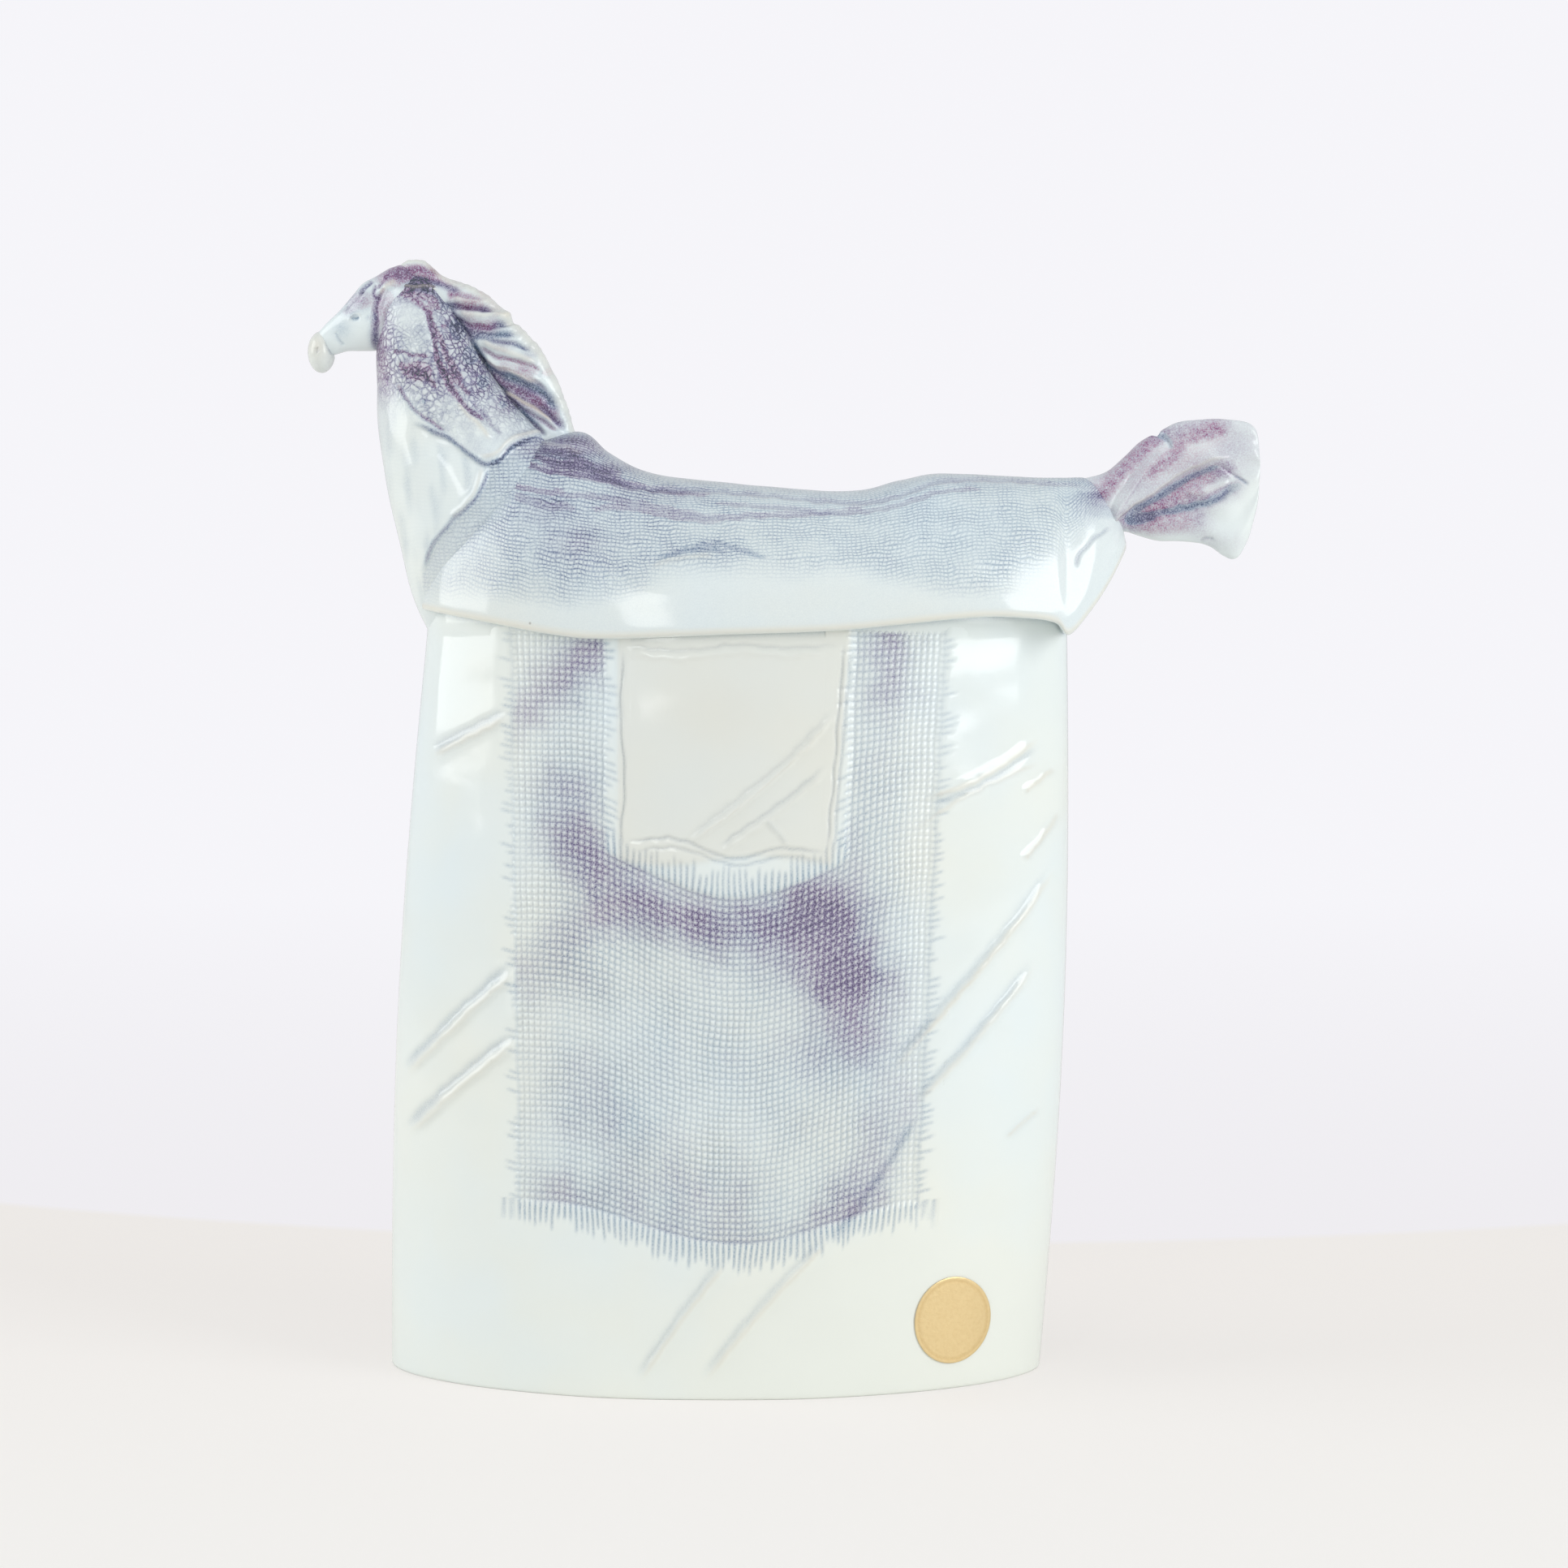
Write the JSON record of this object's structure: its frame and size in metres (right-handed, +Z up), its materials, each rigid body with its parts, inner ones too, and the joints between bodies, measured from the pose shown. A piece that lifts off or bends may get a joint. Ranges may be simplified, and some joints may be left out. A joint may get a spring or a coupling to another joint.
{
  "type": "ceramic horse figurine",
  "caption": "Tall hollow glazed horse: oval slab body with a cloth print, lapping trunk slab, small drooping head, pleated mane and fanned tail.",
  "frame": {"origin": "middle of the foot, on the surface that the figurine stands on", "axes": "+X from the head towards the tail, +Y away from the printed front, +Z up"},
  "size_m": [0.2929, 0.1003, 0.344],
  "materials": {
    "glaze": "glossy pale green-white glaze, blue and purple where it pools in the cloth print",
    "gold_foil": "plain gold foil on paper, no lettering"
  },
  "bodies": {
    "root": {"ceramic_body": "glaze", "foil_label": "gold_foil"}
  },
  "joints": []
}
